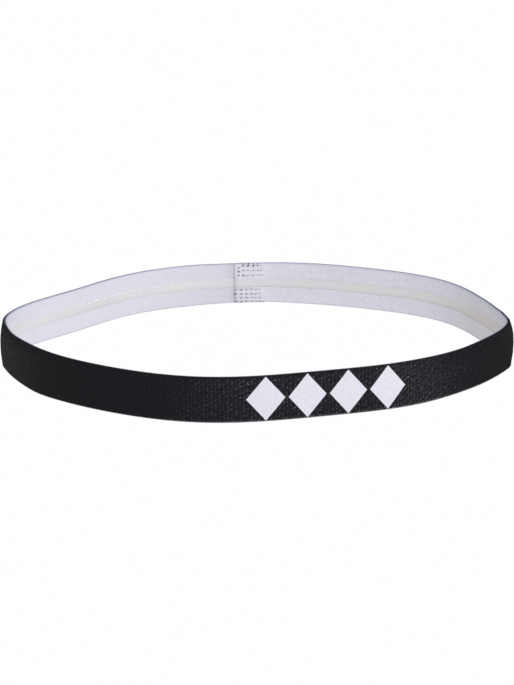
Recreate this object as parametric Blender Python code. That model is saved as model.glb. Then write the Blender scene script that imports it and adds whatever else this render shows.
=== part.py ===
"""Narrow elastic sports headband with a silicone grip line, lapped and tacked at the back.

The band is a double-faced elastic webbing: an outer face fabric that wraps both
selvedges, a lining fabric on the head side, and elastic core yarns that run the
whole length between the two. One strip makes the loop. Its tail lies outside
its other end at the back, and two lockstitched tacks, above and below the grip
line, hold the lap.

The two fabrics and the grip line are each in three lengths: a front one, and two
rear ones that it meets at the left and right sides of the loop. The core yarns
are whole.

Frame: +Z up, +Y to the lap at the back, -Y to the front, -X to the left. The
origin is at the middle of the loop on the plane of the lower selvedge. Angles
are in degrees, from +X towards +Y. A place on the strip is an angle, a distance
out from the strip's middle surface, and a height up.
"""

import math

import bmesh
import bpy
from mathutils import Matrix, Vector

MM = 0.001

# ---------------------------------------------------------------- dimensions
BAND_HEIGHT = 12.7 * MM  # half-inch webbing
BAND_THICK = 1.10 * MM
HALF_THICK = BAND_THICK / 2
FABRIC = 0.30 * MM  # each of the two woven faces
CLEAR = 0.05 * MM  # air between pieces that touch

LOOP_RADIUS = 69.97 * MM  # mean radius of the relaxed loop
# The webbing is limp, so the loop stands in gentle waves. Each wave: how many
# fit round the loop, its height in mm, and the angle of one crest.
LOOP_WAVES = (
    (2, 1.55, 45),
    (3, 1.15, -27),
    (4, 1.07, -4),
    (5, 1.00, -33),
    (6, 0.43, -5),
    (7, 0.20, -4),
    (8, 0.55, -8),
)

# The strip runs from its tail, round by the left, front and right, to its inner end.
LAP_LEFT = 95.55  # the inner end's cut edge
LAP_RIGHT = 88.20  # the tail's cut edge
TAIL = LAP_RIGHT - 360.0  # the tail's cut edge, as an angle along the strip
LAP_START = LAP_LEFT - 360.0  # where the tail's side of the lap stops
LAP_OFFSET = 0.82 * MM  # each layer's shift in or out of the loop's line
LAP_LEAD = 0.9  # degrees that a layer keeps its shift past the lap
LAP_EASE = 13.0  # degrees over which it comes back to the line

SIDE_LEFT = -180.0  # where the strip's lengths meet
SIDE_RIGHT = 0.0
SIDE_GAP = 0.12  # half the gap there, degrees (0.15 mm)

STEP = 6.7  # degrees between stations, at most
END_STEP = STEP * 0.5  # the same, in the spans near the strip's ends
ANGLE_SLACK = 1e-6  # degrees by which a station may miss a length's end
NORMAL_REACH = 0.05  # degrees each way, to find the loop's direction
MIDDLE_STEP = 0.5  # degrees between the points that find the loop's middle

YARN_RADIUS = 0.17 * MM
YARN_HEIGHTS = (1.20, 2.35, 3.60, 4.85, 5.85, 6.85, 7.85, 9.40, 10.95)  # mm

GRIP_LOW = 4.95 * MM
GRIP_HIGH = 7.95 * MM
GRIP_THICK = 0.42 * MM
# The grip line's dome, from its upper edge to its lower: the share of its
# thickness, then the share of its half height above the middle.
GRIP_DOME = ((0.55, 0.93), (0.93, 0.55), (1.0, 0.0), (0.93, -0.55), (0.55, -0.93))

NEEDLE_RADIUS = 0.09 * MM
BOBBIN_RADIUS = 0.08 * MM
BOBBIN_GAP = 0.04 * MM  # air between the bobbin thread and the needle thread
BOBBIN_TAIL = 0.45 * MM  # bobbin thread past the first and last columns
HOLE_WIDE = 0.30 * MM
HOLE_TALL = 0.64 * MM
HOLE_DEEP = 6.0 * MM  # length of a hole's cutter, more than the whole lap
LEG = 0.20 * MM  # a stitch leg's distance above or below its row
TACK_ROWS = {  # mm above the lower selvedge
    "lower": (0.65, 1.75, 2.95, 4.28),
    "upper": (8.75, 10.30, 11.75),
}
STITCHES = 6
END_TO_STITCH = 0.82 * MM  # from the inner end's cut edge to the first column
STITCH_PITCH = 1.40 * MM
LAP_FACE = LAP_OFFSET + HALF_THICK  # the loop's line to either surface of the lap
LAP_SEARCH = 8.0  # degrees past each edge of the lap to search for an x
SEARCH_HALVINGS = 60

WELD_DISTANCE = 1e-6
SHARP_ANGLE = 35  # degrees

# ------------------------------------------------------------------ materials
FINISHES = {  # colour (red, green, blue, alpha), roughness
    "printed_face": ((0.018, 0.018, 0.020, 1.0), 0.85),
    "white_lining": ((0.72, 0.72, 0.80, 1.0), 0.80),
    "grip_silicone": ((0.72, 0.71, 0.70, 1.0), 0.35),
    "core_rubber": ((0.80, 0.76, 0.66, 1.0), 0.60),
    "black_thread": ((0.012, 0.012, 0.014, 1.0), 0.70),
    "white_thread": ((0.78, 0.78, 0.82, 1.0), 0.70),
}


def material(name):
    """The named finish, made the first time that it is asked for."""
    found = bpy.data.materials.get(name)
    if found:
        return found
    colour, roughness = FINISHES[name]
    made = bpy.data.materials.new(name)
    made.use_nodes = True
    shader = made.node_tree.nodes["Principled BSDF"]
    shader.inputs["Base Color"].default_value = colour
    shader.inputs["Roughness"].default_value = roughness
    shader.inputs["Metallic"].default_value = 0.0
    made.diffuse_color = colour
    return made


# ------------------------------------------------------------ the loop's line
def loop_radius(angle):
    waves = sum(
        height * MM * math.cos(count * math.radians(angle - crest))
        for count, height, crest in LOOP_WAVES
    )
    return LOOP_RADIUS + waves


def raw_point(angle):
    """A point of the loop's line, before the loop is centred on the origin."""
    radius = loop_radius(angle)
    turn = math.radians(angle)
    return Vector((radius * math.cos(turn), radius * math.sin(turn), 0))


def loop_normal(angle):
    """The level direction straight out of the loop."""
    along = raw_point(angle + NORMAL_REACH) - raw_point(angle - NORMAL_REACH)
    return Vector((along.y, -along.x, 0)).normalized()


def ease(x):
    """A smooth step from 0 to 1, flat outside that range."""
    x = min(1.0, max(0.0, x))
    return x * x * (3.0 - 2.0 * x)


def layer_shift(angle):
    """Outwards near the tail, inwards near the inner end, none elsewhere."""
    outer = 1.0 - ease((angle - (LAP_START + LAP_LEAD)) / LAP_EASE)
    inner = 1.0 - ease(((LAP_RIGHT - LAP_LEAD) - angle) / LAP_EASE)
    return LAP_OFFSET * (outer - inner)


def loop_middle():
    """The middle of the box round the strip, whose waves aren't even about a point."""
    count = int((LAP_LEFT - TAIL) / MIDDLE_STEP)
    angles = [TAIL + i * MIDDLE_STEP for i in range(count)]
    edge = [raw_point(a) + loop_normal(a) * (layer_shift(a) + HALF_THICK) for a in angles]
    xs = [point.x for point in edge]
    ys = [point.y for point in edge]
    return Vector(((min(xs) + max(xs)) / 2, (min(ys) + max(ys)) / 2, 0))


MIDDLE = loop_middle()


def loop_point(angle):
    return raw_point(angle) - MIDDLE


def strip_point(angle, up=0.0):
    """A point of the strip's middle surface."""
    point = loop_point(angle) + loop_normal(angle) * layer_shift(angle)
    return Vector((point.x, point.y, up))


def stations(start, end):
    """The angles from start to end, out of those that every piece shares."""
    marks = [
        TAIL,
        LAP_START,
        LAP_START + LAP_LEAD,
        SIDE_LEFT - SIDE_GAP,
        SIDE_LEFT + SIDE_GAP,
        SIDE_RIGHT - SIDE_GAP,
        SIDE_RIGHT + SIDE_GAP,
        LAP_RIGHT - LAP_LEAD,
        LAP_RIGHT,
        LAP_LEFT,
    ]
    angles = []
    for low, high in zip(marks, marks[1:]):
        near_end = min(abs(low - TAIL), abs(high - LAP_LEFT)) < LAP_EASE
        parts = max(1, math.ceil((high - low) / (END_STEP if near_end else STEP)))
        angles += [low + (high - low) * i / parts for i in range(parts)]
    angles.append(LAP_LEFT)
    return [a for a in angles if start - ANGLE_SLACK <= a <= end + ANGLE_SLACK]


# ------------------------------------------------------------ modelling tools
def clear_scene():
    for ob in list(bpy.data.objects):
        bpy.data.objects.remove(ob)


def collection(name):
    made = bpy.data.collections.new(name)
    bpy.context.scene.collection.children.link(made)
    return made


def poly_curve(name, points, dimensions="3D", cyclic=False):
    """Curve data with straight lines between points of two or three values."""
    data = bpy.data.curves.new(name, "CURVE")
    data.dimensions = dimensions
    line = data.splines.new("POLY")
    line.points.add(len(points) - 1)
    for slot, point in zip(line.points, points):
        slot.co = (point[0], point[1], point[2] if len(point) > 2 else 0.0, 1.0)
    line.use_cyclic_u = cyclic
    return data


def curve_object(data):
    made = bpy.data.objects.new(data.name, data)
    bpy.context.scene.collection.objects.link(made)
    return made


def solid_from(data, name, finish, group):
    """The bevelled curve, capped and turned into a welded mesh object."""
    data.use_fill_caps = True
    path = curve_object(data)
    bpy.context.view_layer.update()
    graph = bpy.context.evaluated_depsgraph_get()
    mesh = bpy.data.meshes.new_from_object(path.evaluated_get(graph), depsgraph=graph)
    bpy.data.objects.remove(path)

    bm = bmesh.new()
    bm.from_mesh(mesh)
    bmesh.ops.remove_doubles(bm, verts=bm.verts, dist=WELD_DISTANCE)
    bmesh.ops.recalc_face_normals(bm, faces=bm.faces)
    bm.to_mesh(mesh)
    bm.free()

    mesh.materials.clear()
    mesh.materials.append(material(finish))
    mesh.shade_smooth()
    mesh.set_sharp_from_angle(angle=math.radians(SHARP_ANGLE))
    made = bpy.data.objects.new(name, mesh)
    group.objects.link(made)
    return made


def swept(name, section, angles, finish, group):
    """A strip of constant section: (out, up) points carried along the loop."""
    outline = curve_object(poly_curve(name + "_section", section, "2D", cyclic=True))
    data = poly_curve(name + "_path", [strip_point(a) for a in angles])
    data.twist_mode = "Z_UP"
    data.bevel_mode = "OBJECT"
    data.bevel_object = outline
    made = solid_from(data, name, finish, group)
    bpy.data.objects.remove(outline)
    return made


def thread(name, points, radius, finish, group):
    """A round thread along a line of points."""
    data = poly_curve(name + "_path", points)
    data.twist_mode = "MINIMUM"
    data.bevel_depth = radius
    data.bevel_resolution = 0
    return solid_from(data, name, finish, group)


# ------------------------------------------------------------------- sections
def face_section():
    """A channel: the outer face with both selvedges turned in towards the head."""
    return [
        (-HALF_THICK, 0),
        (HALF_THICK, 0),
        (HALF_THICK, BAND_HEIGHT),
        (-HALF_THICK, BAND_HEIGHT),
        (-HALF_THICK, BAND_HEIGHT - FABRIC),
        (HALF_THICK - FABRIC, BAND_HEIGHT - FABRIC),
        (HALF_THICK - FABRIC, FABRIC),
        (-HALF_THICK, FABRIC),
    ]


def lining_section():
    """A flat strip between the turned-in selvedges."""
    low = FABRIC + CLEAR
    high = BAND_HEIGHT - FABRIC - CLEAR
    inner = -HALF_THICK
    outer = inner + FABRIC
    return [(inner, low), (outer, low), (outer, high), (inner, high)]


def grip_section():
    """A low dome on the lining."""
    base = -HALF_THICK - CLEAR
    middle = (GRIP_LOW + GRIP_HIGH) / 2
    half_height = GRIP_HIGH - middle
    dome = [
        (base - thick * GRIP_THICK, middle + height * half_height)
        for thick, height in GRIP_DOME
    ]
    return [(base, GRIP_LOW), (base, GRIP_HIGH)] + dome


# --------------------------------------------------------------- stitched lap
LAP_NORMAL = loop_normal((LAP_LEFT + LAP_RIGHT) / 2)
FIRST_X = loop_point(LAP_LEFT).x + END_TO_STITCH
COLUMNS = [FIRST_X + STITCH_PITCH * i for i in range(STITCHES)]


def lap_angle(x):
    """The angle on the loop whose point has this x, at the back."""
    low = LAP_RIGHT - LAP_SEARCH
    high = LAP_LEFT + LAP_SEARCH
    for _ in range(SEARCH_HALVINGS):
        middle = (low + high) / 2
        if loop_point(middle).x > x:
            low = middle
        else:
            high = middle
    return (low + high) / 2


def lap_place(x, out, up):
    """A point by its x along the lap, out from the loop's line, and up."""
    point = loop_point(lap_angle(x)) + LAP_NORMAL * out
    return Vector((point.x, point.y, up))


def stitch_cutter(group):
    """Every needle hole of both tacks, as one cutter that goes through the lap."""
    bm = bmesh.new()
    turn = Matrix.Rotation(math.atan2(-LAP_NORMAL.x, LAP_NORMAL.y), 4, "Z")
    size = Matrix.Diagonal((HOLE_WIDE, HOLE_DEEP, HOLE_TALL, 1.0))
    for rows in TACK_ROWS.values():
        for up in rows:
            for x in COLUMNS:
                place = Matrix.Translation(lap_place(x, 0.0, up * MM)) @ turn
                bmesh.ops.create_cube(bm, size=1.0, matrix=place @ size)
    mesh = bpy.data.meshes.new("needle_holes")
    bm.to_mesh(mesh)
    bm.free()
    cutter = bpy.data.objects.new("needle_holes", mesh)
    cutter.hide_render = True
    cutter.display_type = "WIRE"
    group.objects.link(cutter)
    return cutter


def cut_holes(ob, cutter):
    cut = ob.modifiers.new("needle_holes", "BOOLEAN")
    cut.operation = "DIFFERENCE"
    cut.solver = "EXACT"
    cut.object = cutter


def in_row_order(xs, row):
    """Rows are sewn to and fro, the first towards +X."""
    return xs if row % 2 == 0 else xs[::-1]


def needle_path(rows):
    """Outside from hole to hole; at each hole in, round the bobbin thread, out."""
    outside = LAP_FACE + CLEAR + NEEDLE_RADIUS
    inside = -LAP_FACE - CLEAR - 2 * BOBBIN_RADIUS - BOBBIN_GAP - NEEDLE_RADIUS
    points = []
    for row, up in enumerate(rows):
        low_leg = up * MM - LEG
        high_leg = up * MM + LEG
        for x in in_row_order(COLUMNS, row):
            points += [
                lap_place(x, outside, low_leg),
                lap_place(x, inside, low_leg),
                lap_place(x, inside, high_leg),
                lap_place(x, outside, high_leg),
            ]
    return points


def bobbin_path(rows):
    """Along each row, between the lap's inner surface and the needle thread."""
    level = -LAP_FACE - CLEAR - BOBBIN_RADIUS
    xs = [COLUMNS[0] - BOBBIN_TAIL] + COLUMNS + [COLUMNS[-1] + BOBBIN_TAIL]
    return [
        lap_place(x, level, up * MM)
        for row, up in enumerate(rows)
        for x in in_row_order(xs, row)
    ]


# ---------------------------------------------------------------------- build
def build_webbing(parts, holes):
    """The two fabrics and the grip line, in three lengths."""
    lengths = {
        "front": stations(SIDE_LEFT + SIDE_GAP, SIDE_RIGHT - SIDE_GAP),
        "rear_left": stations(TAIL, SIDE_LEFT - SIDE_GAP),
        "rear_right": stations(SIDE_RIGHT + SIDE_GAP, LAP_LEFT),
    }
    for where, angles in lengths.items():
        face = swept("face_fabric_" + where, face_section(), angles, "printed_face", parts)
        lining = swept(
            "lining_fabric_" + where, lining_section(), angles, "white_lining", parts
        )
        swept("grip_strip_" + where, grip_section(), angles, "grip_silicone", parts)
        if where != "front":
            cut_holes(face, holes)
            cut_holes(lining, holes)


def build_core(parts):
    """The elastic yarns, whole from the tail to the inner end."""
    angles = stations(TAIL, LAP_LEFT)
    for number, up in enumerate(YARN_HEIGHTS, 1):
        line = [strip_point(a, up * MM) for a in angles]
        thread(f"core_yarn_{number:02d}", line, YARN_RADIUS, "core_rubber", parts)


def build_tacks(parts):
    """The needle and bobbin threads of both tacks."""
    for where, rows in TACK_ROWS.items():
        needle, bobbin = needle_path(rows), bobbin_path(rows)
        thread("needle_thread_" + where, needle, NEEDLE_RADIUS, "black_thread", parts)
        thread("bobbin_thread_" + where, bobbin, BOBBIN_RADIUS, "white_thread", parts)


def build():
    clear_scene()
    parts = collection("sports_headband")
    holes = stitch_cutter(collection("cutters"))
    build_webbing(parts, holes)
    build_core(parts)
    build_tacks(parts)


build()
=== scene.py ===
"""A sports headband: a knitted strip with a twill lining, closed by a stitched lap.

The loop stands on the floor round the z axis, with its front towards -y, its left end
at -x and its lap at +y. The strip starts in the lap as the outer layer (the tail), runs
by the left end, the front and the right end, and ends in the lap as the inner layer.
Every place on it is a run s along its middle line, an offset outward and a height z.
Relief follows the weave, and is laid out along the strip so that it stretches with it.
"""

import math

import bpy
import numpy as np
from mathutils import Matrix, Vector


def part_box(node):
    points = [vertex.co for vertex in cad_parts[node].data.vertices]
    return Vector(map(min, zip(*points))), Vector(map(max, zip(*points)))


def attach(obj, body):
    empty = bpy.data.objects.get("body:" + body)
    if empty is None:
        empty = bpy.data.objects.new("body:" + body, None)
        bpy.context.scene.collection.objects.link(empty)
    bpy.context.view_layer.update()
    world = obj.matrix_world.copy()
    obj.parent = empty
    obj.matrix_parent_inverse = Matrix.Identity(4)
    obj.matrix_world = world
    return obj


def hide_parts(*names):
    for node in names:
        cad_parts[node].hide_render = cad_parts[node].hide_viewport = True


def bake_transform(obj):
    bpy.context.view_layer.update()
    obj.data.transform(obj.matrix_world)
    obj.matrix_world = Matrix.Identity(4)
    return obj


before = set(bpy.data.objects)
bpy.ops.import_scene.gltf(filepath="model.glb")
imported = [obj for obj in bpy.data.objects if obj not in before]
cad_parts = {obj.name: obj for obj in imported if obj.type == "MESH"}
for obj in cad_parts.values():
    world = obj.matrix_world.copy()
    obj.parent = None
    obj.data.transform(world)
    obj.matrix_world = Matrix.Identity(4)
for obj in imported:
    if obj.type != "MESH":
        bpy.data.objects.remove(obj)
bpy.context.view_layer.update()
MM = 0.001  # lengths are in millimetres until a mesh is made
RNG = np.random.default_rng(7)

# ------------------------------------------------------------ the strip's line
FACE_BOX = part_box("face_fabric_front")
HEIGHT = (FACE_BOX[1].z - FACE_BOX[0].z) / MM
THICK = 1.10
HALF = THICK / 2
RADIUS = 69.97
# The loop's departure from a circle: waves round it, height, angle of a crest in degrees.
WAVES = (
    (2, 1.55, 45),
    (3, 1.15, -27),
    (4, 1.07, -4),
    (5, 1.00, -33),
    (6, 0.43, -5),
    (7, 0.20, -4),
    (8, 0.55, -8),
)
# Angles are in degrees from +x, anticlockwise. The lap lies between these two.
LAP_LEFT, LAP_RIGHT = 95.55, 88.20
LAP_OFFSET = 0.82  # each layer's shift from the loop's line in the lap
LAP_LEAD, LAP_EASE = 0.9, 13.0  # where that shift starts to fade, and over how many degrees
TAIL = LAP_RIGHT - 360.0
LINE_POINTS = 24001


def raw(deg):
    r = RADIUS + sum(h * np.cos(n * np.radians(deg - c)) for n, h, c in WAVES)
    return np.stack([r * np.cos(np.radians(deg)), r * np.sin(np.radians(deg))], -1)


def unit(v):
    return v / np.linalg.norm(v, axis=-1, keepdims=True)


def loop_normal(deg):
    step = 0.05
    tangent = raw(deg + step) - raw(deg - step)
    return unit(np.stack([tangent[..., 1], -tangent[..., 0]], -1))


def ease(x):
    x = np.clip(x, 0.0, 1.0)
    return x * x * (3.0 - 2.0 * x)


def layer_shift(deg):
    """Outward for the tail, inward for the strip's other end."""
    outer = 1.0 - ease((deg - (LAP_LEFT - 360.0 + LAP_LEAD)) / LAP_EASE)
    inner = 1.0 - ease(((LAP_RIGHT - LAP_LEAD) - deg) / LAP_EASE)
    return LAP_OFFSET * (outer - inner)


def loop_middle():
    """The middle of the loop's outline, which is moved to the z axis."""
    deg = np.arange(TAIL, LAP_LEFT, 0.5)
    edge = raw(deg) + loop_normal(deg) * (layer_shift(deg) + HALF)[:, None]
    return (edge.min(0) + edge.max(0)) / 2


MIDDLE = loop_middle()
LINE_DEG = np.linspace(TAIL, LAP_LEFT, LINE_POINTS)
LINE = raw(LINE_DEG) - MIDDLE + loop_normal(LINE_DEG) * layer_shift(LINE_DEG)[:, None]
LINE_RUN = np.r_[0, np.cumsum(np.linalg.norm(np.diff(LINE, axis=0), axis=1))]
LINE_TANGENT = unit(np.gradient(LINE, axis=0))
LINE_NORMAL = np.stack([LINE_TANGENT[:, 1], -LINE_TANGENT[:, 0]], -1)
LENGTH = LINE_RUN[-1]


def run_at(deg):
    return float(np.interp(deg, LINE_DEG, LINE_RUN))


def place(s):
    """(point, outward normal, tangent) of the strip's middle line at run s."""
    point = np.stack([np.interp(s, LINE_RUN, LINE[:, i]) for i in (0, 1)], -1)
    normal = unit(np.stack([np.interp(s, LINE_RUN, LINE_NORMAL[:, i]) for i in (0, 1)], -1))
    return point, normal, np.stack([-normal[..., 1], normal[..., 0]], -1)


S_FRONT = run_at(-90.0)
S_LEFT, S_RIGHT = run_at(-180.0), run_at(0.0)
S_LAP_TAIL = run_at(LAP_LEFT - 360.0)  # where the tail passes the inner layer's cut edge
S_LAP_END = run_at(LAP_RIGHT)  # where the inner layer passes the tail's cut edge

# ------------------------------------------------------------ the strip's lean
# Bell curves along the strip: height, run of the middle, width before it, width after it.
BELLY = ((0.70, S_LEFT, 17.0, 17.0), (0.80, S_RIGHT, 15.0, 15.0))
BELLY_ALL_ROUND = 0.10
# The top turned in and the foot out, at both ends of the loop.
TILT = ((0.10, S_LEFT, 17.0, 17.0), (0.22, S_RIGHT, 8.0, 8.0))
# Both ends held out a little over their whole height.
HOLD = ((0.42, S_LEFT, 10.0, 10.0), (0.62, S_RIGHT, 15.0, 15.0), (0.12, S_RIGHT, 8.0, 8.0))
# The strip running straight into the right end from behind.
CHORD = ((1.04, 340.6, 5.2, 8.0), (0.25, 353.0, 9.0, 9.0))
# The top edge turned in at the right end.
BRIM = ((0.95, 332.5, 6.1, 5.0),)
# The foot drawn out into corners beside both ends, and in before the right one.
FOOT = (
    (0.22, 117.5, 4.5, 4.5),
    (0.50, 152.0, 9.0, 9.0),
    (0.30, 321.0, 3.2, 3.2),
    (-0.34, 309.0, 7.5, 7.5),
)
# The top edge leaning out on the front's side of both ends.
TOP_LEAN = ((1.05, 287.0, 13.0, 13.0), (0.45, 131.0, 9.0, 9.0))


def humps(s, table, base=0.0):
    return sum(
        (
            height * np.exp(-(((s - middle) / np.where(s < middle, before, after)) ** 2))
            for height, middle, before, after in table
        ),
        base,
    )


def bow(s, z):
    """How far the cloth leans outward: it bellies most at the tight ends of the loop."""
    across = 2.0 * z / HEIGHT - 1.0
    upper, lower = np.clip(across, 0, 1), np.clip(-across, 0, 1)
    turned_in = humps(s, BRIM) * upper**3
    turned_in = turned_in - humps(s, FOOT) * lower**2 - humps(s, TOP_LEAN) * upper**2
    hold = humps(s, HOLD, -turned_in) - humps(s, CHORD)
    return humps(s, BELLY, BELLY_ALL_ROUND) * (1.0 - across**2) - humps(s, TILT) * across + hold


def flatness(s):
    """1 along the single layer, 0 at the lap, where the stitches hold the cloth flat."""
    clear, fade = 4, 20
    return ease((s - S_LAP_TAIL - clear) / fade) * ease((S_LAP_END - clear - s) / fade)


# How far the inner end's foot is drawn up: run, rise.
FOOT_RISE = (
    (426.0, 0), (433.0, 0.10), (437.0, 0.30), (441.0, 0.42),
    (442.5, 0.50), (445.0, 0.40), (448.0, 0.26), (LENGTH, 0.19),
)
TAIL_DROP, END_DROP = 0.42, 0.10  # how far the top is drawn down at the strip's two ends


def settle(s, z):
    """The stitches gather the strip at the lap: its top and foot draw in."""
    low = np.interp(s, *zip(*FOOT_RISE))
    top = TAIL_DROP * (1 - ease((s - 10.0) / 16.0)) + END_DROP * ease((s - 436.0) / 8.0)
    return z + low * (1 - z / HEIGHT) - top * z / HEIGHT


PRESS = 0.18  # how far the stitches pull each layer towards the other
ROLL_RUN = 1.2  # the length of the inner cut edge that is rolled thin
ROLL_THIN = 0.50  # the share of the thickness it loses
ROLL_SHIFT = 0.28


def rolled(s):
    return ROLL_THIN * np.clip((s - (LENGTH - ROLL_RUN)) / ROLL_RUN, 0, 1) ** 2


def squeeze(s, offset):
    """The cut edge on the head side is rolled thin under the stitches."""
    roll = rolled(s)
    return HALF - (HALF - offset) * (1 - roll) + ROLL_SHIFT * roll


def press(s):
    clear, fade = 1, 14
    tail = 1 - ease((s - S_LAP_TAIL - clear) / fade)
    inner = 1 - ease((S_LAP_END - clear - s) / fade)
    return PRESS * (inner - tail)


def lean(s, z):
    return bow(s, z) * flatness(s) + press(s)


def laid(s, offsets, heights):
    """Points [station, slot, xyz] from (stations, slots) arrays of offsets and heights."""
    point, normal, _ = place(s)
    run = s[:, None]
    out = squeeze(run, offsets) + lean(run, heights)
    xy = point[:, None, :] + normal[:, None, :] * out[..., None]
    return np.concatenate([xy, settle(run, heights)[..., None]], -1)


# ------------------------------------------------------------------ the stitches
EDGE_MARGIN = 0.82  # from the inner layer's cut edge to where the columns are measured from
FIRST_X = float((raw(np.array(LAP_LEFT)) - MIDDLE)[0]) + EDGE_MARGIN
COLUMNS = 6
LOWER_X = (-0.53, 1.09, 2.68, 4.36, 5.65, 6.90)
UPPER_X = (0.35, 1.85, 3.22, 4.94, 6.25, 7.20)
ROW_HEIGHTS = (0.65, 1.75, 2.95, 4.36, 8.78, 10.38, 11.75)
LOWER_ROWS, UPPER_ROWS = range(4), range(4, 7)
# How far each loop stands out of the lining: rows from the bottom up, columns from
# the cut edge on.
PULL = (
    (0.75, 0.85, 0.70, 0.40, 0.15, 0.10),
    (0.45, 0.60, 0.62, 0.35, 0.28, 0.22),
    (1.00, 0.85, 0.70, 0.62, 0.38, 0.25),
    (0.70, 0.95, 0.35, 0.42, 0.35, 0.15),
    (0.75, 0.98, 0.25, 0.28, 0.35, 0.15),
    (0.95, 0.58, 0.40, 0.52, 0.32, 0.10),
    (0.65, 1.00, 0.98, 0.98, 0.50, 0.15),
)
LOW_STARTS = {(6, 0): 0.58, (5, 0): 0.38}  # (row, column): how much lower that stitch is
JITTER, JITTER_UP = 0.12, 0.6  # random shift, and the share of it used upward


def lay_stitches():
    """Rows of (x, z, pull)."""
    rows = []
    for r, z in enumerate(ROW_HEIGHTS):
        columns = LOWER_X if r in LOWER_ROWS else UPPER_X
        row = []
        for c in range(COLUMNS):
            shift = RNG.uniform(-JITTER, JITTER, 2)
            up = z + JITTER_UP * shift[1] - LOW_STARTS.get((r, c), 0.0)
            row.append((FIRST_X + columns[c] + shift[0], up, PULL[r][c]))
        rows.append(row)
    return rows


STITCHES = lay_stitches()
LAP_NORMAL = loop_normal(np.array((LAP_LEFT + LAP_RIGHT) / 2))


def lap_deg(x):
    margin = 8
    deg = np.linspace(LAP_RIGHT - margin, LAP_LEFT + margin, 4001)
    return float(np.interp(-x, -(raw(deg) - MIDDLE)[:, 0], deg))


def pinch(s, z):
    """How far the stitches draw the two layers together, 0 to 1."""
    margin, wide, tall = 3, 0.50, 0.42
    near = (s < S_LAP_TAIL + margin) | (s > S_LAP_END - margin)
    out = np.zeros(np.broadcast(s, z).shape)
    if not near.any():
        return out
    x = np.broadcast_to(place(s)[0][..., 0], out.shape)
    for row in STITCHES:
        for stitch_x, stitch_z, pull in row:
            d2 = ((x - stitch_x) / wide) ** 2 + ((z - stitch_z) / tall) ** 2
            out = np.maximum(out, (0.45 + 0.55 * pull) * np.exp(-d2))
    return np.where(near, out, 0.0)


# --------------------------------------------------------------------- meshes
def new_object(name, verts, groups, mats, uv, extra=None):
    """A mesh object from arrays.

    groups holds (polygons as an (n, k) index array, material slot or slots, smooth).
    """
    mesh = bpy.data.meshes.new(name)
    mesh.vertices.add(len(verts))
    mesh.vertices.foreach_set("co", (np.asarray(verts) * MM).astype(np.float32).ravel())
    loops = np.concatenate([p.ravel() for p, _, _ in groups]).astype(np.int32)
    sizes = np.concatenate([np.full(len(p), p.shape[1]) for p, _, _ in groups]).astype(np.int32)
    starts = np.r_[0, np.cumsum(sizes)[:-1]].astype(np.int32)
    slots = np.concatenate([np.broadcast_to(slot, len(p)) for p, slot, _ in groups])
    mesh.loops.add(len(loops))
    mesh.loops.foreach_set("vertex_index", loops)
    mesh.polygons.add(len(sizes))
    mesh.polygons.foreach_set("loop_start", starts)
    mesh.polygons.foreach_set("loop_total", sizes)
    mesh.polygons.foreach_set("material_index", slots.astype(np.int32))
    smooth = np.concatenate([np.full(len(p), flag) for p, _, flag in groups])
    mesh.polygons.foreach_set("use_smooth", smooth)
    layer = mesh.uv_layers.new(name="cloth")
    layer.data.foreach_set("uv", np.asarray(uv)[loops].astype(np.float32).ravel())
    for key, values in (extra or {}).items():
        attribute = mesh.attributes.new(key, "FLOAT", "POINT")
        attribute.data.foreach_set("value", np.asarray(values, np.float32).ravel())
    for m in mats:
        mesh.materials.append(m)
    mesh.update(calc_edges=True)
    mesh.validate()
    ob = bpy.data.objects.new(name, mesh)
    bpy.context.scene.collection.objects.link(ob)
    return ob


def volume(verts, lists):
    total = 0.0
    for p in lists:
        a = verts[p[:, 0]]
        for i in range(1, p.shape[1] - 1):
            total += np.einsum("ij,ij->i", a, np.cross(verts[p[:, i]], verts[p[:, i + 1]])).sum()
    return total / 6


def ring_quads(stations, ring):
    """Quads of a tube of rings, as [station, slot in the ring, corner]."""
    i = np.arange(stations - 1)[:, None]
    j = np.arange(ring)[None, :]
    k = (j + 1) % ring
    return np.stack([i * ring + j, i * ring + k, (i + 1) * ring + k, (i + 1) * ring + j], -1)


def tube_faces(stations, ring):
    """Quads of a tube of rings, then its two end caps."""
    first = np.arange(ring)[None, ::-1]
    last = (stations - 1) * ring + np.arange(ring)[None, :]
    return [ring_quads(stations, ring).reshape(-1, 4), first, last]


def loft(name, s, offsets, heights, mats, uv_heights, body=None, extra=None, cap_slot=0):
    """A closed strip: offsets and heights are (stations, ring) arrays.

    body may hold its own (polygons, slots) in place of plain quads.
    """
    shape = offsets.shape
    verts = laid(s, offsets, heights).reshape(-1, 3)
    quads, *caps = tube_faces(*shape)
    body = body or [(quads, 0)]
    groups = [(p, slot, True) for p, slot in body] + [(p, cap_slot, False) for p in caps]
    if volume(verts, [p for p, _ in body]) < 0:
        groups = [(p[:, ::-1], slot, smooth) for p, slot, smooth in groups]
    runs = np.broadcast_to(s[:, None], shape)
    uv = np.stack([runs, np.broadcast_to(uv_heights, shape)], -1).reshape(-1, 2)
    return new_object(name, verts, groups, mats, uv, extra)


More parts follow.
